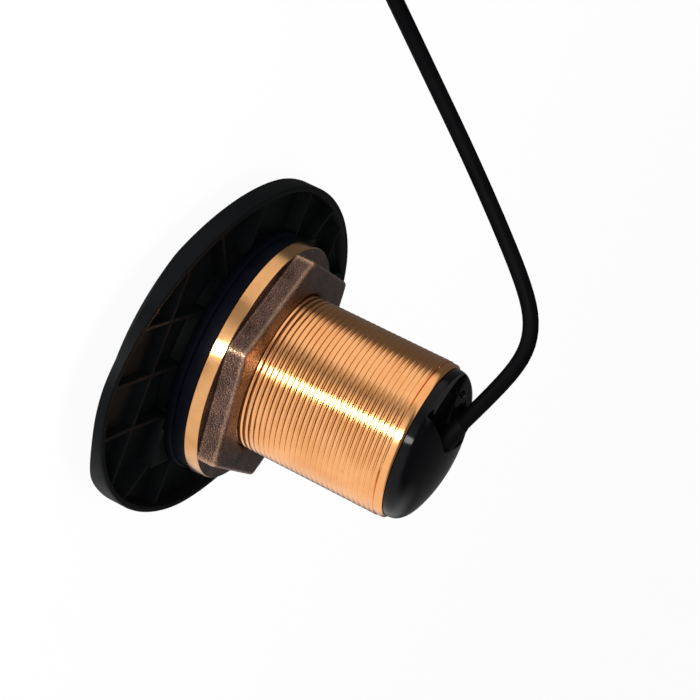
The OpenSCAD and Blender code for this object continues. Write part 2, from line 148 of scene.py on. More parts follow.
def latheObject(name, profile, sides, loop, smoothAngle=35):
    turns = [2 * math.pi * i / sides for i in range(sides)]
    verts = [(*polar(r, t), z) for r, z in profile for t in turns]
    return newObject(name, verts, ringFaces(len(profile), sides, loop), smoothAngle)


# round corner between two points of a profile, corner is where the two straight lines would meet
def roundCorner(start, corner, end, steps):
    points = []
    for k in range(steps + 1):
        t = k / steps
        a, b, c = (1 - t) ** 2, 2 * t * (1 - t), t * t
        points.append(tuple(a * s + b * m + c * e for s, m, e in zip(start, corner, end)))
    return points


def joinPieces(name, pieces):
    bm = bmesh.new()
    for piece in pieces:
        bm.from_mesh(piece.data)
        bpy.data.objects.remove(piece)
    for face in bm.faces:
        face.material_index = 0
    joined = newObject(name, [], [])
    bm.to_mesh(joined.data)
    bm.free()
    return joined


def shift(x, y, z):
    return Matrix.Translation(Vector((x, y, z)) * mm)


def turned(degrees, axis):
    return Matrix.Rotation(math.radians(degrees), 4, axis)


# a geometry tree with inputs of these kinds, and the inputs' sockets by name
def startTree(name, kinds):
    tree = bpy.data.node_groups.new(name, "GeometryNodeTree")
    for label, kind in kinds.items():
        tree.interface.new_socket(label, in_out="INPUT", socket_type="NodeSocket" + kind)
    tree.interface.new_socket("Geometry", in_out="OUTPUT", socket_type="NodeSocketGeometry")
    return tree, {socket.name: socket for socket in addNode(tree, "NodeGroupInput").outputs}


def endTree(tree, geometry, finish):
    real = addNode(tree, "GeometryNodeRealizeInstances", links={0: geometry})
    dressed = addNode(tree, "GeometryNodeSetMaterial", links={"Geometry": real, "Material": finish})
    addNode(tree, "NodeGroupOutput", links={0: dressed})
    return tree


# an object whose whole mesh comes from a node tree, with the tree's inputs given by name
def grown(name, tree, values):
    piece = newObject(name, [], [])
    modifier = piece.modifiers.new("grow", "NODES")
    modifier.node_group = tree
    for socket in tree.interface.items_tree:
        if socket.in_out == "INPUT" and socket.name in values:
            modifier[socket.identifier] = values[socket.name]
    bakeModifiers(piece)
    return piece


# scale of a noise or cell texture from the size of one of its features
def perMetre(sizeMm):
    return 1000 / sizeMm


# scale of a wave texture from the spacing of its bands: it turns 20 radians in each unit
def bandsPerMetre(sizeMm):
    return perMetre(sizeMm) * 2 * math.pi / 20


noiseSpread = {"From Min": 0.3, "From Max": 0.7}  # nearly all values of a noise texture lie here
smooth = {"interpolation_type": "SMOOTHSTEP"}


def emptyTree(owner):
    owner.use_nodes = True
    owner.node_tree.nodes.clear()
    return owner.node_tree


# layers are noise textures: size of a feature in mm, detail and roughness
def startMaterial(name, layers):
    material = bpy.data.materials.new(name)
    tree = emptyTree(material)
    place = addNode(tree, "TexCoord").outputs["Object"]
    noises = []
    for sizeMm, detail, rough in layers:
        settings = {"Scale": perMetre(sizeMm), "Detail": detail, "Roughness": rough}
        noises.append(addNode(tree, "TexNoise", settings, {"Vector": place}))
    return material, tree, place, noises


# bump is the settings and links of a bump, gloss a noise and the roughness at its low and high values
def endMaterial(material, settings, links, bump, gloss=None):
    tree = material.node_tree
    links["Normal"] = addNode(tree, "Bump", *bump)
    if gloss:
        layer, low, high = gloss
        spread = {**noiseSpread, "To Min": low, "To Max": high}
        links["Roughness"] = addNode(tree, "MapRange", spread, {"Value": layer})
    shader = addNode(tree, "BsdfPrincipled", settings, links)
    addNode(tree, "OutputMaterial", links={"Surface": shader})
    return material


# metal bar turned on a lathe: one warm or grey tone with handling stains and a fine tool finish
def turnedMetal(name, light, dark, stain, roughLow, roughHigh):
    layers = [(14, 5, 0.6), (4, 6, 0.65), (0.5, 2, 0.5)]
    material, tree, _, (blotch, smear, grit) = startMaterial(name, layers)
    tone = addNode(tree, "ValToRGB", {"stops": ((0.3, dark), (0.62, light))}, {"Fac": blotch})
    spots = addNode(tree, "MapRange", {"From Min": 0.6, "From Max": 0.8, "To Max": 0.35}, {"Value": smear})
    colour = addNode(tree, "Mix", {"data_type": "RGBA", 7: hexColour(stain)}, {0: spots, 6: tone}).outputs[2]
    bump = {"Strength": 0.05, "Distance": 0.03 * mm}, {"Height": grit}
    return endMaterial(material, {"Metallic": 1.0}, {"Base Color": colour}, bump, (smear, roughLow,
        roughHigh))


# sand-cast bronze left as it came out of the mould: brown skin, sandy grain that sparkles
def castBronze(name):
    material, tree, place, (blotch, grain) = startMaterial(name, [(9, 6, 0.62), (0.7, 5, 0.7)])
    tone = addNode(tree, "ValToRGB", {"stops": ((0.3, "#4E3C35"), (0.68, "#826559"))}, {"Fac": blotch})
    sand = addNode(tree, "TexVoronoi", {"Scale": perMetre(0.55)}, {"Vector": place})
    height = addNode(tree, "Math", {"operation": "ADD"}, {0: sand, 1: grain})
    # the nut's mesh carries how far each edge is painted lighter, part rubbed bare metal and part painted
    # highlight along the corners and top edge: lighter metal with less of the sand left
    wornAndLit = addNode(tree, "Attribute", {"attribute_name": "edge_wear_and_highlight"}).outputs["Fac"]
    bareAndHighlight = hexColour("#C39B7C")
    colour = addNode(tree, "Mix", {"data_type": "RGBA", 7: bareAndHighlight}, {0: wornAndLit, 6: tone}).outputs[2]
    sandLeft = addNode(tree, "MapRange", {"To Min": 1.0, "To Max": 0.35}, {"Value": wornAndLit})
    bump = {"Distance": 0.2 * mm}, {"Strength": sandLeft, "Height": height}
    return endMaterial(material, {"Metallic": 1.0}, {"Base Color": colour}, bump, (grain, 0.16, 0.38))


# moulded plastic, rubber or fired clay: one colour, fine grain from the mould, faint cloudy wear in the gloss
def mouldedSkin(name, low, high, roughLow, roughHigh, grainMm, grainHeight, ior=1.45):
    material, tree, _, (cloud, grain) = startMaterial(name, [(11, 5, 0.6), (grainMm, 3, 0.5)])
    tone = addNode(tree, "ValToRGB", {"stops": ((0.32, low), (0.7, high))}, {"Fac": cloud})
    bump = {"Strength": 0.35, "Distance": grainHeight * mm}, {"Height": grain}
    return endMaterial(material, {"IOR": ior}, {"Base Color": tone}, bump, (cloud, roughLow, roughHigh))


# ring of enamelled copper wire: its turns show as bands, drawn 1.8 mm apart so that they can be seen; the
# bands are painted shade between the turns and a painted highlight on each turn
def woundCopper(name):
    material, tree, place, _ = startMaterial(name, [])
    settings = {"Scale": bandsPerMetre(1.776), "Distortion": 0.6, "bands_direction": "X"}
    bands = addNode(tree, "TexWave", settings, {"Vector": place}).outputs["Fac"]
    tone = addNode(tree, "ValToRGB", {"stops": ((0, "#5A2C12"), (1, "#C97B45"))}, {"Fac": bands})
    bump = {"Strength": 0.6, "Distance": 0.3 * mm}, {"Height": bands}
    return endMaterial(material, {"Metallic": 0.8, "Roughness": 0.3}, {"Base Color": tone}, bump)


# woven nylon strap: matt crossed threads, drawn 1.6 mm apart so that they can be seen; the crossings are
# painted lighter, a painted highlight on the threads' crowns
def wovenStrap(name):
    material, tree, place, _ = startMaterial(name, [])
    threads = []
    for way in ("X", "Z"):
        settings = {"Scale": bandsPerMetre(1.578), "bands_direction": way}
        threads.append(addNode(tree, "TexWave", settings, {"Vector": place}).outputs["Fac"])
    weave = addNode(tree, "Math", {"operation": "MULTIPLY"}, {0: threads[0], 1: threads[1]})
    tone = addNode(tree, "ValToRGB", {"stops": ((0, "#0B0B0C"), (1, "#2A2A2D"))}, {"Fac": weave})
    bump = {"Strength": 0.6, "Distance": 0.2 * mm}, {"Height": weave}
    return endMaterial(material, {"Roughness": 0.9}, {"Base Color": tone}, bump)


recipes = {
    "turned_bronze": (turnedMetal, "#EEAC72", "#E39C60", "#B97D47", 0.12, 0.2),
    # the nut's machined foot is the stem's bronze painted darker and more orange: painted shade for the
    # darker reflections on the ring
    "machined_nut_foot_shaded": (turnedMetal, "#DCA56F", "#C68E5A", "#8E623C", 0.1, 0.2),
    "sand_cast_bronze": (castBronze,),
    "moulded_black_nylon": (mouldedSkin, "#050607", "#090A0B", 0.42, 0.56, 0.45, 0.03, 1.12),
    "cast_black_urethane": (mouldedSkin, "#0E0E0F", "#151516", 0.3, 0.42, 1.2, 0.02, 1.4),
    "gasket_rubber": (mouldedSkin, "#030409", "#05070D", 0.5, 0.65, 0.5, 0.03, 1.08),
    "washer_nylon": (mouldedSkin, "#05060C", "#090B14", 0.4, 0.52, 0.6, 0.02, 1.14),
    "polished_black_abs": (mouldedSkin, "#030304", "#050507", 0.06, 0.1, 2.5, 0.004, 1.22),
    "cable_sheath_pvc": (mouldedSkin, "#030304", "#050506", 0.45, 0.58, 0.6, 0.02, 1.09),
    "seal_rubber": (mouldedSkin, "#040405", "#070708", 0.5, 0.6, 0.4, 0.02, 1.12),
    "plug_black_nylon": (mouldedSkin, "#0C0D0E", "#151617", 0.36, 0.5, 0.4, 0.02, 1.4),
    "plated_contact_brass": (turnedMetal, "#EBC86C", "#D9B254", "#B08A3A", 0.15, 0.25),
    "fired_piezo_ceramic": (mouldedSkin, "#CFC6A8", "#DDD6BE", 0.5, 0.65, 0.3, 0.02),
    "pressed_cork": (mouldedSkin, "#6E4A2A", "#A67A4C", 0.8, 0.95, 1.1, 0.2),
    "board_solder_mask": (mouldedSkin, "#0D3A1C", "#15572B", 0.3, 0.4, 2.0, 0.02),
    "dipped_film_capacitor": (mouldedSkin, "#8E1D12", "#B12A1B", 0.15, 0.25, 1.5, 0.02),
    "wire_insulation": (mouldedSkin, "#CFCFC8", "#E2E2DC", 0.4, 0.5, 0.8, 0.01),
    "stainless_screw": (turnedMetal, "#C9C9C7", "#A9A9A8", "#77777A", 0.2, 0.3),
    "enamelled_copper_winding": (woundCopper,),
    "woven_nylon_strap": (wovenStrap,),
}
finishes = {name: make(name, *values) for name, (make, *values) in recipes.items()}
print("materials:", len(finishes))


def dress(piece, finish):
    piece.data.materials.clear()
    piece.data.materials.append(finishes[finish])


def setPiece(piece, slot, *replaced, finish=None, body="transducer"):
    if finish:
        dress(piece, finish)
    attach(piece, body)
    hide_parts(*replaced)


view = {
    "place": (-623.2, 201.5, 236.2),
    "right": (0.3543, 0.3551, 0.8651),
    "up": (0.1397, 0.8946, -0.4245),
    "back": (-0.9246, 0.2713, 0.2673),
    "focalPx": 1900,
    "imagePx": 700,
}
cameraData = bpy.data.cameras.new("camera")
cameraData.sensor_width = 36
cameraData.lens = view["focalPx"] * cameraData.sensor_width / view["imagePx"]
cameraData.clip_start = 0.01
cameraData.clip_end = 20
camera = bpy.data.objects.new("camera", cameraData)
scene.collection.objects.link(camera)
axes = Matrix([view["right"], view["up"], view["back"]]).transposed()
camera.matrix_world = shift(*view["place"]) @ axes.to_4x4()
scene.camera = camera

stage = {"floorHalf": 9000, "floorDrop": 0.2, "floorShow": 0.95, "roomDark": 0.13}


# 1 for what the camera sees straight or through something clear
def seenByCamera(tree):
    path = addNode(tree, "LightPath").outputs
    rays = {0: path["Is Camera Ray"], 1: path["Is Transmission Ray"]}
    return addNode(tree, "Math", {"operation": "MAXIMUM"}, rays)


half = stage["floorHalf"]
corners = [(x * half, y * half, -stage["floorDrop"]) for x, y in ((-1, -1), (1, -1), (1, 1), (-1, 1))]
floor = newObject("floor", corners, [(0, 1, 2, 3)])
floorMaterial = bpy.data.materials.new("white_sweep")
tree = emptyTree(floorMaterial)
share = addNode(tree, "Math", {"operation": "MULTIPLY", 1: stage["floorShow"]}, {0: seenByCamera(tree)})
paint = addNode(tree, "BsdfDiffuse", {"Color": hexColour("#FAFAFA")})
white = addNode(tree, "Emission", {"Color": (1, 1, 1, 1), "Strength": 1.0})
mixed = addNode(tree, "MixShader", links={0: share, 1: paint, 2: white})
addNode(tree, "OutputMaterial", links={"Surface": mixed})
floor.data.materials.append(floorMaterial)
# the photo's object hangs in white, so its reflections and its underside see the room and not the floor
floor.visible_glossy = False
floor.visible_diffuse = False
floor.visible_shadow = False

# bright upright walls of the room: bearing of the middle, degrees to each side that are full and faded,
# brightness, and the slopes upwards (as a sine) where the wall starts to fade and is gone
walls = {
    "below": (-113, 53, 86, 1.12, 0.45, 0.9),
    "above": (93, 19, 40, 1.14, 0.8, 1.0),
    "gap": (135, 25, 45, 0.56, 0.3, 0.7),
    "front": (168, 14, 38, 0.95, 0.3, 0.7),
}
scene.world = bpy.data.worlds.new("studio")
tree = emptyTree(scene.world)
heading = addNode(tree, "TexCoord").outputs["Generated"]
flat = addNode(tree, "VectorMath", {"operation": "MULTIPLY", 1: (1, 1, 0)}, {0: heading})
flat = addNode(tree, "VectorMath", {"operation": "NORMALIZE"}, {0: flat})
slope = addNode(tree, "SeparateXYZ", links={0: heading}).outputs["Z"]
brightest = {}
for *degrees, level, starts, gone in walls.values():
    bearing, full, faded = (math.radians(turn) for turn in degrees)
    middle = {"operation": "DOT_PRODUCT", 1: (*polar(1, bearing), 0)}
    facing = addNode(tree, "VectorMath", middle, {0: flat})
    spread = {**smooth, "From Min": math.cos(faded), "From Max": math.cos(full), "To Max": level}
    glow = addNode(tree, "MapRange", spread, {"Value": facing.outputs["Value"]})
    fade = {**smooth, "From Min": starts, "From Max": gone, "To Min": 1, "To Max": 0}
    low = addNode(tree, "MapRange", fade, {"Value": slope})
    glow = addNode(tree, "Math", {"operation": "MULTIPLY"}, {0: glow, 1: low})
    most = {"operation": "MAXIMUM", 0: stage["roomDark"]}
    brightest[0] = addNode(tree, "Math", most, {**brightest, 1: glow})
room = addNode(tree, "Background", {"Color": (1, 1, 1, 1)}, {"Strength": brightest[0]})
backdrop = addNode(tree, "Background", {"Color": (1, 1, 1, 1), "Strength": 1.0})
mixed = addNode(tree, "MixShader", links={0: seenByCamera(tree), 1: room, 2: backdrop})
addNode(tree, "OutputWorld", links={"Surface": mixed})

# soft boxes: place, aim, width and height in mm, watts, and whether glossy surfaces mirror the box
lamps = {
    "strip_box": ((-659, 140, -127), (0, 0, 60), 110, 1700, 13, True),
    "top_box": ((-250, 150, 900), (0, 0, 40), 500, 500, 4, False),
}
for name, (place, aim, wide, tall, power, mirrored) in lamps.items():
    data = bpy.data.lights.new(name, "AREA")
    data.shape = "RECTANGLE"
    data.size = wide * mm
    data.size_y = tall * mm
    data.energy = power
    light = bpy.data.objects.new(name, data)
    scene.collection.objects.link(light)
    light.location = Vector(place) * mm
    light.rotation_euler = (Vector(aim) - Vector(place)).to_track_quat("-Z", "Y").to_euler()
    light.visible_glossy = mirrored
scene.view_settings.view_transform = "Standard"
print("camera, floor and lamps set")

stemSize = {
    "radius": 30.15, "pitch": 2.117, "depth": 0.43, "low": 14.7, "high": 90.2, "core": 28.8,
    "lip": 29.85, "lipChamfer": 0.8, "top": 93.2, "bore": 25.0, "roof": 7.0, "footTop": 11.0,
    "turnSteps": 120, "sides": 192,
}


# one strip of grid wound up the stem: x of the grid is the turn, y is the place across one thread
def threadTree():
    lengths = ("Radius", "Pitch", "Depth", "Low", "High", "Core")
    kinds = {**dict.fromkeys(lengths, "Float"), "Turn Steps": "Int", "Finish": "Material"}
    tree, made = startTree("cutThread", kinds)
    place = addNode(tree, "GeometryNodeInputPosition")
    place = addNode(tree, "SeparateXYZ", links={0: place}).outputs
    made.update({"x": place["X"], "y": place["Y"]})
    across = addNode(tree, "Math", {"operation": "ABSOLUTE"}, {0: place["Y"]})
    flank = {**smooth, "From Min": 0.2, "From Max": 0.5}
    made["flank"] = addNode(tree, "MapRange", flank, {"Value": across})
    # a row for each sum: its name, its operation and its terms, by name or as numbers
    sums = [
        ("span", "SUBTRACT", "High", "Low"),
        ("fit", "DIVIDE", "span", "Pitch"),
        ("whole", "CEIL", "fit"),
        ("turns", "ADD", "whole", 1.0),
        ("steps", "MULTIPLY_ADD", "turns", "Turn Steps", 1.0),
        ("turn", "MULTIPLY_ADD", "turns", 0.5, "x"),
        ("angle", "MULTIPLY", "turn", 2 * math.pi),
        ("climb", "ADD", "turn", "y"),
        ("rise", "SUBTRACT", "climb", 0.5),
        ("height", "MULTIPLY_ADD", "rise", "Pitch", "Low"),
        ("overLow", "MAXIMUM", "height", "Low"),
        ("kept", "MINIMUM", "overLow", "High"),
        ("inside", "COMPARE", "height", "kept", 1e-7),
        ("cut", "MULTIPLY", "flank", "Depth"),
        ("crest", "SUBTRACT", "Radius", "cut"),
        ("proud", "SUBTRACT", "crest", "Core"),
        ("radius", "MULTIPLY_ADD", "proud", "inside", "Core"),
        ("cosine", "COSINE", "angle"),
        ("sine", "SINE", "angle"),
        ("east", "MULTIPLY", "cosine", "radius"),
        ("north", "MULTIPLY", "sine", "radius"),
    ]
    for name, operation, *terms in sums:
        numbers = {i: term for i, term in enumerate(terms) if not isinstance(term, str)}
        links = {i: made[term] for i, term in enumerate(terms) if isinstance(term, str)}
        made[name] = addNode(tree, "Math", {"operation": operation, **numbers}, links)
    counts = {"Size X": made["turns"], "Vertices X": made["steps"]}
    grid = addNode(tree, "GeometryNodeMeshGrid", {"Size Y": 1.0, "Vertices Y": 9}, counts)
    spot = addNode(tree, "CombineXYZ", links={"X": made["east"], "Y": made["north"], "Z": made["kept"]})
    wound = addNode(tree, "GeometryNodeSetPosition", links={"Geometry": grid, "Position": spot})
    welded = addNode(tree, "GeometryNodeMergeByDistance", {"Distance": 2e-6}, {"Geometry": wound})
    return endTree(tree, welded, made["Finish"])


def coreObject(size):
    bore, core, lip, chamfer = size["bore"], size["core"], size["lip"], size["lipChamfer"]
    low, high, top = size["roof"] + 0.4, size["high"], size["top"]
    profile = [
        (bore, low), (core, low), (core, high - 0.3),
        *roundCorner((lip - 0.1, high), (lip, high), (lip, high + 0.2), 3),
        (lip, top - chamfer), (lip - chamfer, top), (bore + 0.4, top), (bore, top - 0.4)]
    return latheObject("stem_core", profile, size["sides"], True)


# the foot inside the flange keeps the solid's own shape: a copy of the stem, cut off below its thread
def stemFoot(size):
    piece = nodes["bronze_stem"].copy()
    piece.data = piece.data.copy()
    piece.parent = None
    piece.name = "stem_foot"
    for key in list(piece.keys()):
        del piece[key]
    scene.collection.objects.link(piece)
    cleanUp(piece, 30)
    reach = 60
    keepBox = boxObject("foot_keep", (-reach, -reach, size["roof"] - 1), (reach, reach, size["footTop"]))
    cutBy(piece, keepBox, "INTERSECT")
    return piece


size = stemSize
lengths = {name.capitalize(): size[name] * mm for name in ("radius", "pitch", "depth", "low", "high")}
thread = grown("stem_thread", threadTree(), {
    **lengths, "Core": (size["core"] - 0.3) * mm, "Turn Steps": size["turnSteps"],
    "Finish": finishes["turned_bronze"]})
cleanUp(thread, 50)
stem = joinPieces("threaded_stem", [thread, coreObject(size), stemFoot(size)])
shade(stem, 40)
setPiece(stem, "machined_bronze", "bronze_stem", finish="turned_bronze")
print("stem threaded:", len(stem.data.polygons), "faces")

# turn is the bearing of a corner; the wear entries say how much lighter the corners and the top edge are
# painted, part rubbed metal and part painted highlight, from and to in degrees beside a corner
nutSize = {
    "low": 23.2, "footTop": 28.5, "top": 36.0, "footR": 46.4, "footDraft": 0.55, "bore": 30.45,
    "flat": 40.0, "corner": 46.0, "turn": 43.2, "soft": 8, "edge": 1.8, "sand": 0.06, "sides": 432,
    "wearAndHighlight": 0.75, "edgeWearAndHighlight": 0.4, "highlitWearFrom": 0.8, "highlitWearTo": 2.4,
}


# degrees from the middle of the nearest flat, which is 30 at a corner
def offFlat(size, bearing):
    return (math.degrees(bearing) - size["turn"]) % 60 - 30


def hexRadius(size, bearing):
    flat = size["flat"] / math.cos(math.radians(offFlat(size, bearing)))
    soft = size["soft"]
    return -math.log(math.exp(-soft * flat) + math.exp(-soft * size["corner"])) / soft


# corners and top edge of the hexagon painted lighter: part rubbed metal, part painted highlight
def wornAndHighlit(size, bearing, z):
    if z < size["footTop"] + 0.3:
        return 0
    near = 30 - abs(offFlat(size, bearing))
    corner = min(max((size["highlitWearTo"] - near) / (size["highlitWearTo"] - size["highlitWearFrom"]), 0), 1)
    over = (z - size["top"] + size["edge"]) / size["edge"]
    rounded = size["edgeWearAndHighlight"] * math.sin(math.pi * min(max(over, 0), 1))
    return size["wearAndHighlight"] * max(corner, rounded)


def nutRows(size):
    low, mid, top, footR, bore = size["low"], size["footTop"], size["top"], size["footR"], size["bore"]
    edge = size["edge"]
    rim = footR - size["footDraft"]
    # bore and foot; a row close to each end of the foot's drafted side keeps its shading even
    foot = [
        (bore, top - 1.3), (bore, low + 0.7), (bore + 0.7, low), (footR - 0.4, low),
        (footR - 0.1, low + 0.12), (footR, low + 0.4), (footR - 0.024, low + 0.6),
        (rim + 0.024, mid - 0.55), (rim, mid - 0.35), (rim - 0.08, mid - 0.15), (rim - 0.25, mid)]
    hexagon = [(0.9, mid), (0.4, mid + 0.1), (0.1, mid + 0.4)]
    hexagon += [(0, mid + up) for up in (0.9, 1.8, 2.7, 3.6, 4.5, 5.3)]
    for turn in range(0, 91, 15):
        angle = math.radians(turn)
        hexagon.append((edge * math.cos(angle) - edge, top - edge + edge * math.sin(angle)))
    hexagon += [(out, top) for out in (-2.6, -4.4, -6.2)]
    rows = [(z, "round", r, k == 0 or z == mid) for k, (r, z) in enumerate(foot)]
    rows += [(z, "hex", out, True) for out, z in hexagon]
    return rows + [(top, "round", bore + 1.7, True), (top - 0.05, "round", bore + 1.4, True)]


def nutObject(size):
    mid, top, sand = size["footTop"], size["top"], size["sand"]
    widest = size["footR"] - size["footDraft"] - 0.05
    rows = nutRows(size)  # (height, kind, radius or distance out from the hexagon, is cast)
    verts, wearAndHighlight = [], []
    for z, kind, value, isCast in rows:
        for i in range(size["sides"]):
            a = math.radians(size["turn"]) + 2 * math.pi * i / size["sides"]
            r = value
            if kind == "hex":
                r = max(min(hexRadius(size, a) + value, widest), size["bore"] + 2.4)
            point = Vector((*polar(r, a), z))
            if isCast and z > mid + 0.05:
                push = noise.noise(point * 0.55) * sand + noise.noise(point * 1.7) * sand * 0.7
                point += Vector((*polar(1, a), 0.4 if z > top - 0.5 else 0)) * push
            verts.append(point)
            onSide = kind == "hex" and value >= -size["edge"] - 0.2
            wearAndHighlight.append(wornAndHighlit(size, a, z) if onSide else 0)
    piece = newObject("cast_nut", verts, ringFaces(len(rows), size["sides"], True))
    piece.data.attributes.new("edge_wear_and_highlight", "FLOAT", "POINT").data.foreach_set("value", wearAndHighlight)
    piece.data.materials.append(finishes["sand_cast_bronze"])
    piece.data.materials.append(finishes["machined_nut_foot_shaded"])
    for face in piece.data.polygons:
        row = face.index // size["sides"]
        bothCast = rows[row][3] and rows[(row + 1) % len(rows)][3]
        face.material_index = 0 if bothCast else 1
    cleanUp(piece, 38)
    return piece


nut = nutObject(nutSize)
setPiece(nut, "cast_bronze", "hull_nut", body="hull_nut")
print("nut cast:", len(nut.data.polygons), "faces")

# the outer edges are rounded, inward and up, and the bore's top edge is eased
gasketSize = {
    "low": 15.0, "high": 18.4, "radius": 46.8, "bore": 30.45, "inward": 1.1, "up": 1.2, "steps": 5,
    "ease": 0.2, "sides": 192,
}
washerSize = {
    "low": 18.4, "high": 23.2, "radius": 45.8, "bore": 30.45, "inward": 0.5, "up": 0.5, "steps": 3,
    "ease": 0.3, "sides": 192,
}


def washerObject(name, size):
    low, high, radius, bore, inward, up, steps, ease, sides = size.values()
    profile = [
        (bore, high - ease), (bore, low),
        *roundCorner((radius - inward, low), (radius, low), (radius, low + up), steps),
        *roundCorner((radius, high - up), (radius, high), (radius - inward, high), steps),
        (bore + ease, high)]
    return latheObject(name, profile, sides, True)


gasket = washerObject("soft_gasket", gasketSize)
setPiece(gasket, "black_rubber", "rubber_gasket", finish="gasket_rubber")
washer = washerObject("hard_washer", washerSize)
setPiece(washer, "washer_nylon", "hull_washer", finish="washer_nylon")
print("washers turned")

# groove is the middle, height and depth of the seal's groove; the end values say where the rim gets thinner
flangeSize = {
    "halfL": 96.5, "halfW": 64.5, "power": 1.86, "rim": 16.5, "band": 9.5, "belly": 15.0, "lip": 2.4,
    "skin": 3.4, "floor": 10.0, "seat": 15.0, "boss": 44.0, "bore": 30.25, "footL": 42.1, "footW": 33.1,
    "footTop": 11.0, "roof": 7.0, "pocketL": 54.0, "pocketW": 34.5, "groove": (13.3, 1.9, 1.95),
    "ribBase": 2.1, "ribTop": 1.25, "ribPitch": 20.0, "crossRib": 66.0, "lugReach": 57.0, "lugTop": 16.1,
    "lugSpread": 24, "sides": 288, "bellySteps": 24, "endFrom": 68.0, "endFull": 94.0, "endThin": 0.5,
}


def flangeRow(size, halfL, halfW, z):
    row = []
    for i in range(size["sides"]):
        t = 2 * math.pi * i / size["sides"]
        c, s = (math.copysign(abs(v) ** (2 / size["power"]), v) for v in polar(1, t))
        row.append((halfL * c, halfW * s, z))
    return row


def insetRow(size, inset, z):
    return flangeRow(size, size["halfL"] - inset, size["halfW"] - inset, z)


def roundRow(size, r, z):
    outline = insetRow(size, 0, z)
    return [(r * x / math.hypot(x, y), r * y / math.hypot(x, y), z) for x, y, _ in outline]


def rowsObject(name, rows, smoothAngle):
    verts = [point for row in rows for point in row]
    return newObject(name, verts, ringFaces(len(rows), len(rows[0]), True), smoothAngle)


def flangeShell(size):
    rim, lip, skin, ground, band = size["rim"], size["lip"], size["skin"], size["floor"], size["band"]
    boss, bore, seat, steps = size["boss"], size["bore"], size["seat"], size["bellySteps"]
    rows = [flangeRow(size, size["pocketL"], size["pocketW"], 0.3),
            flangeRow(size, size["pocketL"] + 0.3, size["pocketW"] + 0.3, 0)]
    for k in range(steps + 1):
        z = band * (k / steps) ** 1.2
        b = math.sqrt(1 - (band - z) / size["belly"])
        rows.append(flangeRow(size, size["halfL"] * b, size["halfW"] * b, z))
    # up the band, over the lip and down into the recess
    lipRows = [
        (0, band + 0.5), (0, 12.5), (0, rim - 0.8), (0.06, rim - 0.5), (0.24, rim - 0.22),
        (0.5, rim - 0.05), (0.8, rim), (lip - 0.5, rim), (lip - 0.2, rim - 0.1), (lip, rim - 0.45),
        (skin - 0.3, ground + 1.8), (skin, ground + 0.9), (skin + 0.4, ground + 0.3), (skin + 1.2, ground)]
    rows += [insetRow(size, inset, z) for inset, z in lipRows]
    middle, tall, deep = size["groove"]
    grooveLow, grooveHigh = middle - tall / 2, middle + tall / 2
    # up the boss and down the bore past the seal's groove
    boreRows = [
        (boss + 1, ground), (boss + 0.3, ground + 0.25), (boss, ground + 0.9), (boss, seat - 0.4),
        (boss - 0.4, seat), (bore + 0.3, seat), (bore, seat - 0.3), (bore, grooveHigh),
        (bore + deep, grooveHigh), (bore + deep, grooveLow), (bore, grooveLow), (bore, size["footTop"])]
    rows += [roundRow(size, r, z) for r, z in boreRows]
    rows += [flangeRow(size, size["footL"], size["footW"], z) for z in (size["footTop"], size["roof"])]
    rows.append(flangeRow(size, size["pocketL"], size["pocketW"], size["roof"]))
    return rowsObject("flange_shell", rows, 32)


# long bars in the flange's rib pattern, cut to the ring-shaped space between rim and boss
def ribTree():
    kinds = {"Bar": "Object", "Space": "Object", "Pitch": "Float", "Cross": "Float", "Finish": "Material"}
    tree, given = startTree("mouldedRibs", kinds)
    bar = addNode(tree, "GeometryNodeObjectInfo", links={"Object": given["Bar"]}).outputs["Geometry"]
    space = addNode(tree, "GeometryNodeObjectInfo", links={"Object": given["Space"]}).outputs["Geometry"]
    joined = addNode(tree, "GeometryNodeJoinGeometry")
    back, twice = {}, {}
    for name in ("Pitch", "Cross"):
        back[name] = addNode(tree, "Math", {"operation": "MULTIPLY", 1: -1.0}, {0: given[name]})
        twice[name] = addNode(tree, "Math", {"operation": "MULTIPLY", 1: 2.0}, {0: given[name]})
    # (count, axis of the step with first place and step, turn of the bars, turn added to each next bar)
    patterns = [
        (3, {"Y": (back["Pitch"], given["Pitch"])}, 0, 0),
        (2, {"X": (back["Pitch"], twice["Pitch"])}, 90, 0),
        (2, {"X": (back["Cross"], twice["Cross"])}, 90, 0),
        (2, {}, -45, 90),
    ]
    for count, places, turn, more in patterns:
        start = addNode(tree, "CombineXYZ", links={axis: first for axis, (first, _) in places.items()})
        step = addNode(tree, "CombineXYZ", links={axis: offset for axis, (_, offset) in places.items()})
        ends = {"Start Location": start, "Offset": step}
        points = addNode(tree, "GeometryNodeMeshLine", {"Count": count}, ends)
        index = addNode(tree, "GeometryNodeInputIndex")
        turns = {"operation": "MULTIPLY_ADD", 1: math.radians(more), 2: math.radians(turn)}
        spin = addNode(tree, "Math", turns, {0: index})
        spin = addNode(tree, "CombineXYZ", links={"Z": spin})
        bars = {"Points": points, "Instance": bar, "Rotation": spin}
        placed = addNode(tree, "GeometryNodeInstanceOnPoints", links=bars)
        real = addNode(tree, "GeometryNodeRealizeInstances", links={0: placed})
        tree.links.new(real.outputs[0], joined.inputs[0])
    union = {"operation": "UNION", "solver": "EXACT", "Self Intersection": True}
    whole = addNode(tree, "GeometryNodeMeshBoolean", union, {"Mesh 2": joined})
    overlap = {"operation": "INTERSECT", "solver": "EXACT"}
    cut = addNode(tree, "GeometryNodeMeshBoolean", overlap, {"Mesh 2": whole})
    tree.links.new(space, cut.inputs["Mesh 2"])
    return endTree(tree, cut, given["Finish"])


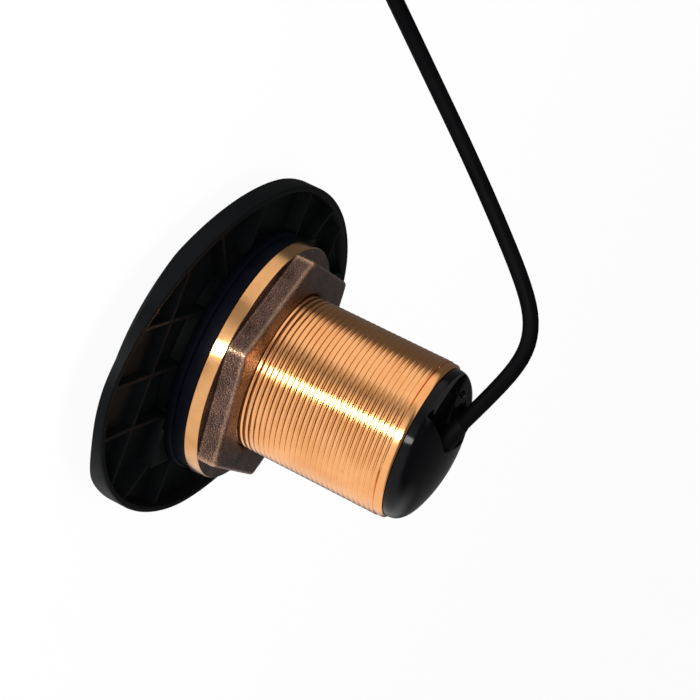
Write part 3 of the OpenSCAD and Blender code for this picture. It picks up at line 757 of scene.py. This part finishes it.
def ribBar(size):
    half, low, top = 110, size["floor"] - 0.6, size["seat"]
    base, crest = size["ribBase"] / 2, size["ribTop"] / 2
    section = [(-base, low), (base, low), (crest + 0.12, top - 0.25), (crest - 0.12, top),
               (-crest + 0.12, top), (-crest - 0.12, top - 0.25)]
    verts = [(x, y, z) for x in (-half, half) for y, z in section]
    return newObject("rib_bar", verts, prismFaces(len(section)), 20)


# the recess between rim and boss, a little larger so that the ribs end inside the walls
def ribSpace(size):
    low, high, boss = size["floor"] - 0.8, size["rim"] + 1, size["boss"] - 1
    rows = []
    for wall, z in ((size["skin"], low), (size["lip"], high)):
        rows.append(flangeRow(size, size["halfL"] - wall + 0.6, size["halfW"] - wall + 0.6, z))
    rows += [roundRow(size, boss, high), roundRow(size, boss, low)]
    return rowsObject("rib_space", rows, 20)


# corner lug: a pointed web outside the gasket and a lower one under it
def lugObject(size, bearing):
    rim, spread, reach = size["boss"] - 1, math.radians(size["lugSpread"]), size["lugReach"]
    beside = polar(rim, spread)
    wide = [(beside[0], -beside[1]), (reach, 0), beside]
    clear = gasketSize["radius"] + 0.5
    root, tip = np.array(wide[0]), np.array(wide[1])
    along = [root + t * (tip - root) for t in np.linspace(0, 1, 400)]
    start = next(point for point in along if math.hypot(*point) > clear)
    limit = math.atan2(start[1], start[0])
    arc = [polar(clear, a) for a in np.linspace(-limit, limit, 9)]
    pieces = []
    for outline, top in ((wide, size["seat"]), ([*arc, (reach, 0)], size["lugTop"])):
        verts = [(x, y, z) for z in (size["floor"] - 0.5, top) for x, y in outline]
        web = newObject("lug_web", verts, prismFaces(len(outline)))
        web.data.transform(turned(bearing, "Z"))
        cleanUp(web, 30)
        softenEdges(web, 0.3, 2, 30)
        pieces.append(web)
    return pieces


size = flangeSize
shell = flangeShell(size)
bar, space = ribBar(size), ribSpace(size)
ribs = grown("flange_ribs", ribTree(), {
    "Bar": bar, "Space": space, "Pitch": size["ribPitch"] * mm, "Cross": size["crossRib"] * mm,
    "Finish": finishes["moulded_black_nylon"]})
for helper in (bar, space):
    bpy.data.objects.remove(helper)
flange = joinPieces("ribbed_flange", [shell, ribs, *lugObject(size, 45), *lugObject(size, 225)])
# the underside rises towards the two ends, so the rim is half as thick there
for vertex in flange.data.vertices:
    reach = (abs(vertex.co.x) / mm - size["endFrom"]) / (size["endFull"] - size["endFrom"])
    reach = min(max(reach, 0), 1)
    keep = 1 - size["endThin"] * reach * reach * (3 - 2 * reach)
    vertex.co.z = size["rim"] * mm - (size["rim"] * mm - vertex.co.z) * keep
shade(flange, 32)
setPiece(flange, "moulded_nylon", "flange_housing", finish="moulded_black_nylon")
print("flange moulded:", len(flange.data.polygons), "faces")

# vent is a y, height, width and depth; leadHole an x, y and width; boardSlot a length, thickness and depth
capSize = {
    "radius": 28.75, "low": 93.2, "edge": 4.0, "shoulder": 5.0, "height": 12.0, "power": 0.8,
    "domeSteps": 28, "plugR": 24.9, "plugL": 10.0, "seal": 1.8, "notchCorner": (-10.8, 3.5),
    "notchRight": 8.0, "notchBearing": 134, "notchFloor": 3.3, "draft": 1.6, "vent": (19.4, 98.0, 2.0, 3.0),
    "exit": (-4, 10.6, 103.2), "slope": 22, "bushHole": 8.7, "bushIn": 14.0, "bushOut": 4.5,
    "leadHole": (-4, -2.15, 5.0), "boardSlot": (40.2, 1.8, 2.8), "sides": 192,
}


def capDome(size, r):
    rise = max(0, 1 - (r / size["radius"]) ** 2) ** size["power"]
    return size["low"] + size["edge"] + (size["height"] - size["edge"]) * rise


# from the z axis to the way that the cable leaves the cap
def exitMatrix(size):
    return shift(*size["exit"]) @ turned(size["slope"] - 90, "X")


# pocket for the cable: a corner near the middle, a left wall on its bearing, a right wall with a little draft
def notchObject(size):
    x, y = size["notchCorner"]
    low, high, far = size["low"] + size["notchFloor"], size["low"] + 20, 60
    left = math.radians(size["notchBearing"])
    rings = []
    for z, draft in ((low, 0), (high, size["draft"] * (high - low) / 5)):
        right = size["notchRight"] + draft
        end = (x + far * math.cos(left), y + far * math.sin(left), z)
        rings += [(x, y, z), (right, y, z), (right, far, z), end]
    return newObject("notch", rings, prismFaces(4))


def drill(name, width, low, high, sides, place):
    hole = latheObject(name, [(0, low), (width / 2, low), (width / 2, high), (0, high)], sides, False)
    hole.data.transform(place)
    return hole


def capObject(size):
    radius, low, plugR, seal = size["radius"], size["low"], size["plugR"], size["seal"] / 2
    bottom = low - size["plugL"]
    sealZ, sealR = low - size["plugL"] / 2, plugR - size["seal"] + 0.2
    inner, steps = radius - size["shoulder"], size["domeSteps"]
    dome = (inner, capDome(size, inner))
    profile = [
        (0, bottom), (plugR - 0.4, bottom), (plugR, bottom + 0.4), (plugR, sealZ - seal),
        (sealR, sealZ - seal), (sealR, sealZ + seal), (plugR, sealZ + seal), (plugR, low),
        *roundCorner((radius - 0.5, low), (radius, low), (radius, low + 0.5), 4),
        *roundCorner((radius, low + 1.2), (radius, low + size["edge"] + 0.8), dome, 12)]
    for k in range(1, steps + 1):
        r = inner * (1 - k / steps)
        profile.append((r, capDome(size, r)))
    piece = latheObject("gloss_cap", profile, size["sides"], False)
    cutBy(piece, notchObject(size))
    y, z, wide, deep = size["vent"]
    cutBy(piece, drill("vent", wide, -3, deep, 32, shift(size["notchRight"], y, z) @ turned(90, "Y")))
    cutBy(piece, drill("bush_hole", size["bushHole"], -size["bushIn"], size["bushOut"], 64, exitMatrix(size)))
    x, y, wide = size["leadHole"]
    cutBy(piece, drill("lead_hole", wide, bottom - 1, low + 4.5, 48, shift(x, y, 0)))
    wide, thick, deep = size["boardSlot"]
    slot = boxObject("board_slot", (-wide / 2, -thick / 2, bottom - 1), (wide / 2, thick / 2, bottom + deep))
    cutBy(piece, slot)
    softenEdges(piece, 0.45, 3, 40)
    shade(piece, 40)
    return piece


cap = capObject(capSize)
setPiece(cap, "gloss_black", "end_cap", finish="polished_black_abs")

bushSize = {"d": 8.6, "tip": 6.2, "bore": 5.9, "inside": 14.0, "outside": 3.5, "taper": 9.0, "sides": 64}


def bushObject(size):
    bore, outer, tip = size["bore"] / 2, size["d"] / 2, size["tip"] / 2
    low, high = -size["inside"], size["outside"]
    taperLow = high - size["taper"]
    profile = [
        (bore, high - 0.3), (bore, low), (outer - 0.3, low), (outer, low + 0.3),
        *roundCorner((outer, taperLow - 1.5), (outer, taperLow), (outer - 0.15, taperLow + 1.5), 4),
        *roundCorner((tip, high - 0.5), (tip, high), (tip - 0.3, high), 3)]
    piece = latheObject("cable_bush", profile, size["sides"], True)
    piece.data.transform(exitMatrix(capSize))
    return piece


bush = bushObject(bushSize)
setPiece(bush, "black_rubber", "cable_grommet", finish="seal_rubber")
print("cap and bush fitted:", len(cap.data.polygons), "faces")

# bearings and turns in degrees; inCap is the length inside the cap, step the pitch of the loose turns,
# tightStep their pitch under the tie, and settleTurn where the first turn has come in to its place
cableSize = {
    "d": 5.7, "length": 6.0, "inCap": 11, "coilX": 0, "coilY": 210, "coilMid": 45, "step": 6.25,
    "tightStep": 5.74, "columns": 5, "rows": 4, "tieBearing": 35, "tieFlat": 9, "tieSpread": 26,
    "tieLift": 1.25, "stepTurn": 60, "settleTurn": 95, "pointTurn": 12.0, "startBearing": 176,
    "endBearing": 200, "bundleOut": 60.5, "tailGap": 0.6,
}


def cableRoute(size):
    r = size["d"] / 2
    sideX = -size["bundleOut"] - r - 0.1
    slope = math.radians(capSize["slope"])
    x, y, z = capSize["exit"]
    return [
        (x, y - size["inCap"] * math.cos(slope), z - size["inCap"] * math.sin(slope)), (x, y, z),
        (-4, 26.6, 109.7), (-4, 39, 114.1), (-4, 48, 115.4), (-4, 56, 113.6), (-4, 63, 109.4),
        (-4, 71, 102.2), (-4.5, 82, 91), (-6, 95, 77.5), (-9, 108, 64), (-14, 121, 51), (-21, 134, 39),
        (-30.3, 147, 28), (-41, 160, 19), (-51.5, 172, 12), (-58.6, 184, 7), (-62.5, 195, 4),
        (sideX - 0.2, 204, r + 0.4)]


def aroundCoil(size, radius, bearing, z):
    x, y = polar(radius, bearing)
    return size["coilX"] + x, size["coilY"] + y, z


# (turn, radius, height) where the winding changes: layer on layer, in and out across the bundle
def windingMarks(size):
    r, ramp, turn = size["d"] / 2, size["stepTurn"], size["settleTurn"]
    first = size["coilMid"] - (size["columns"] - 1) / 2 * size["step"]
    radii = [first + size["step"] * k for k in range(size["columns"])][::-1]
    marks = [(0, size["bundleOut"] + r + 0.3, r + 0.1), (turn, radii[0], r + 0.05)]
    for row in range(size["rows"]):
        order = radii if row % 2 == 0 else radii[::-1]
        height = r + 0.05 + size["step"] * row
        for k, radius in enumerate(order):
            if k:
                turn += ramp
                marks.append((turn, radius, height))
            endsLayer = k == len(order) - 1 or (k == 0 and row > 0)
            turn += 360 - 2 * ramp if endsLayer else 360 - ramp
            marks.append((turn, radius, height))
        if row < size["rows"] - 1:
            turn += ramp
            marks.append((turn, order[-1], height + size["step"]))
    return marks


def windingPoints(size):
    turns, radii, heights = np.array(windingMarks(size), float).T
    unwound = size["startBearing"] - size["endBearing"]
    lastTurn = unwound + 360 * round((turns[-1] - unwound) / 360)
    at = np.arange(0, lastTurn + 1e-6, size["pointTurn"])
    radius = np.interp(at, turns, radii)
    height = np.interp(at, turns, heights)
    kernel = np.array([1, 2, 1]) / 4
    for values in (radius, height):  # eases the corners of the steps
        values[1:-1] = np.convolve(values, kernel, "valid")
    bearing = np.radians(size["startBearing"] - at)
    offBearing = np.abs((np.degrees(bearing) - size["tieBearing"] + 180) % 360 - 180)
    squeeze = np.clip(1 - (offBearing - size["tieFlat"]) / size["tieSpread"], 0, 1)
    squeeze = squeeze * squeeze * (3 - 2 * squeeze)
    tight = 1 + squeeze * (size["tightStep"] / size["step"] - 1)
    radius = size["coilMid"] + (radius - size["coilMid"]) * tight
    low = size["d"] / 2
    height = low + squeeze * size["tieLift"] + (height - low) * tight
    return [aroundCoil(size, *place) for place in zip(radius, bearing, height)]


# from the top of the coil down its outside and into the plug
def tailRoute(size):
    reach = size["bundleOut"] + size["d"] / 2 + size["tailGap"]
    places = [(166, 21), (153, 20), (140, 18.4), (127, 16.4), (114, 14.2), (101, 12.2)]
    points = [aroundCoil(size, reach, math.radians(bearing), z) for bearing, z in places]
    plugY = size["coilY"] + reach
    return points + [(4, plugY, 10.9), (20, plugY, 10.5), (30, plugY, 10.5)]


lead = cableRoute(cableSize)
route = lead + windingPoints(cableSize) + tailRoute(cableSize)
curve = bpy.data.curves.new("sheathed_cable", "CURVE")
curve.dimensions = "3D"
curve.bevel_depth = cableSize["d"] / 2 * mm
curve.bevel_resolution = 4
curve.use_fill_caps = True
spline = curve.splines.new("NURBS")
spline.points.add(len(route) - 1)
for point, place in zip(spline.points, route):
    point.co = (*[c * mm for c in place], 1)
spline.order_u = 3
spline.use_endpoint_u = True
spline.resolution_u = 3
cable = bpy.data.objects.new("sheathed_cable", curve)
scene.collection.objects.link(cable)
setPiece(cable, "cable_sheath", "cable", "cable_coil", "cable_tail", finish="cable_sheath_pvc")
print("cable laid:", len(route), "points")

tieSize = {"bundleW": 31, "bundleH": 25.4, "round": 5, "thick": 1.2, "wide": 12, "cornerSteps": 8}


def bundleOutline(size, grow):
    points = []
    across, tall = size["bundleW"] / 2 - size["round"], size["bundleH"] - 2 * size["round"]
    corner, steps = size["round"] + grow, size["cornerSteps"]
    for x, y, turn in ((1, 0, -90), (1, 1, 0), (-1, 1, 90), (-1, 0, 180)):
        for k in range(steps + 1):
            out, up = polar(corner, math.radians(turn + 90 * k / steps))
            points.append((x * across + out, size["round"] + y * tall + up))
    return points


# strap round the bundle: an outline of the bundle swept to the strap's width
def tieObject(size):
    wide = size["wide"] / 2
    outer = [(x, max(z, 0.02)) for x, z in bundleOutline(size, 0)]
    inner = bundleOutline(size, -size["thick"])
    sections = []
    for points, y in ((inner, -wide + 0.3), (inner, wide - 0.3), (outer, wide - 0.35), (outer, -wide + 0.35)):
        sections.append([(x, y, z) for x, z in points])
    strap = rowsObject("tie_strap", sections, 35)
    softenEdges(strap, 0.25, 2, 50)
    coil = shift(cableSize["coilX"], cableSize["coilY"], 0)
    strap.data.transform(coil @ turned(cableSize["tieBearing"], "Z") @ shift(cableSize["coilMid"], 0, 0))
    shade(strap, 35)
    return strap


tie = tieObject(tieSize)
setPiece(tie, "tie_fabric", "coil_tie", finish="woven_nylon_strap")
print("tie wrapped:", len(tie.data.polygons), "faces")

# plug on the cable's far end, along +X from the boot's tip; stop is a ring's two ends and radius
plugSize = {
    "place": (16, 273.95, 10.5), "bore": 2.95, "bootL": 27, "bootTip": 4.0, "bootEnd": 7.5, "ribs": 6,
    "ribFrom": 4, "ribStep": 2.6, "ribCut": 0.8, "bodyEnd": 65, "bodyR": 8.0, "stop": (41, 44, 9.8),
    "socketR": 6.5, "socketL": 9, "collar": (44.2, 63.2), "collarR": 10.5, "collarBore": 8.1,
    "grips": 24, "gripL": 13.3, "gripCut": 0.6, "bootSides": 96, "bodySides": 128,
}


def bootObject(size):
    tip, end, length, bore = size["bootTip"], size["bootEnd"], size["bootL"], size["bore"]

    def radius(z):
        return tip + (end - tip) * z / length

    profile = [(bore, length - 1), (bore, 0), (tip - 0.5, 0), (radius(0.5), 0.5)]
    for k in range(size["ribs"]):
        z = size["ribFrom"] + k * size["ribStep"]
        for off, cut in ((0, 0), (0.25, size["ribCut"]), (0.95, size["ribCut"]), (1.2, 0)):
            profile.append((radius(z + off) - cut, z + off))
    profile += [(end, length - 0.6), (end - 0.3, length)]
    return latheObject("plug_boot", profile, size["bootSides"], True, 30)


def bodyObject(size):
    start, end, radius, inner = size["bootL"], size["bodyEnd"], size["bodyR"], size["socketR"]
    stopLow, stopHigh, stopR = size["stop"]
    socketLow = end - size["socketL"]
    profile = [
        (0, start), (radius - 0.5, start), (radius, start + 0.5), (radius, stopLow), (stopR - 0.4, stopLow),
        (stopR, stopLow + 0.4), (stopR, stopHigh - 0.4), (stopR - 0.4, stopHigh), (radius, stopHigh),
        (radius, end - 0.4), (radius - 0.4, end), (inner + 0.3, end), (inner, end - 0.3),
        (inner, socketLow), (0, socketLow)]
    return latheObject("plug_body", profile, size["bodySides"], False, 30)


def collarObject(size):
    low, high = size["collar"]
    radius, bore, sides = size["collarR"], size["collarBore"], size["grips"] * 10
    gripHigh = low + size["gripL"]
    rings = []
    profile = [
        (bore, high, 0), (bore, low, 0), (radius - 0.9, low, 0), (radius - 0.3, low + 0.3, 0.7),
        (radius, low + 0.9, 1), (radius, gripHigh, 1), (radius, gripHigh + 0.7, 0), (radius, high - 0.8, 0),
        (radius - 0.25, high - 0.25, 0), (radius - 0.8, high, 0)]
    for r, z, depth in profile:
        ring = []
        for i in range(sides):
            a = 2 * math.pi * i / sides
            groove = max(0, math.cos(size["grips"] * a)) ** 2
            reach = r - size["gripCut"] * depth * groove
            ring.append((*polar(reach, a), z))
        rings.append(ring)
    return rowsObject("plug_collar", rings, 40)


plugMatrix = shift(*plugSize["place"]) @ turned(90, "Y")
plugPieces = {
    "connector_boot": (bootObject(plugSize), "seal_rubber", "black_rubber"),
    "connector_body": (bodyObject(plugSize), "plug_black_nylon", "connector_nylon"),
    "connector_collar": (collarObject(plugSize), "plug_black_nylon", "connector_nylon"),
}
for node, (piece, finish, slot) in plugPieces.items():
    piece.data.transform(plugMatrix)
    setPiece(piece, slot, node, finish=finish)
onCable = [tie, nodes["connector_pins"], *[piece for piece, _, _ in plugPieces.values()]]
# the photo's cable runs out of the picture, so the coil that holds its length stays out of the reflections
for piece in (cable, *onCable):
    piece.visible_glossy = False
print("plug fitted")

carried = {
    "cast_black_urethane": ["acoustic_window"],
    "fired_piezo_ceramic": ["piezo_disc", "piezo_bar_down", "piezo_bar_port", "piezo_bar_starboard"],
    "turned_bronze": ["temperature_probe"],
    "pressed_cork": ["backing_sheet"],
    "stainless_screw": ["foot_screws"],
    "seal_rubber": ["stem_o_ring", "cap_o_ring"],
    "board_solder_mask": ["circuit_board"],
    "enamelled_copper_winding": ["matching_transformer"],
    "dipped_film_capacitor": ["film_capacitor"],
    "wire_insulation": ["element_leads", "core_leads"],
    "plated_contact_brass": ["connector_pins"],
}
for finish, names in carried.items():
    for name in names:
        dress(nodes[name], finish)
print("CAD nodes dressed in", len(carried), "finishes")
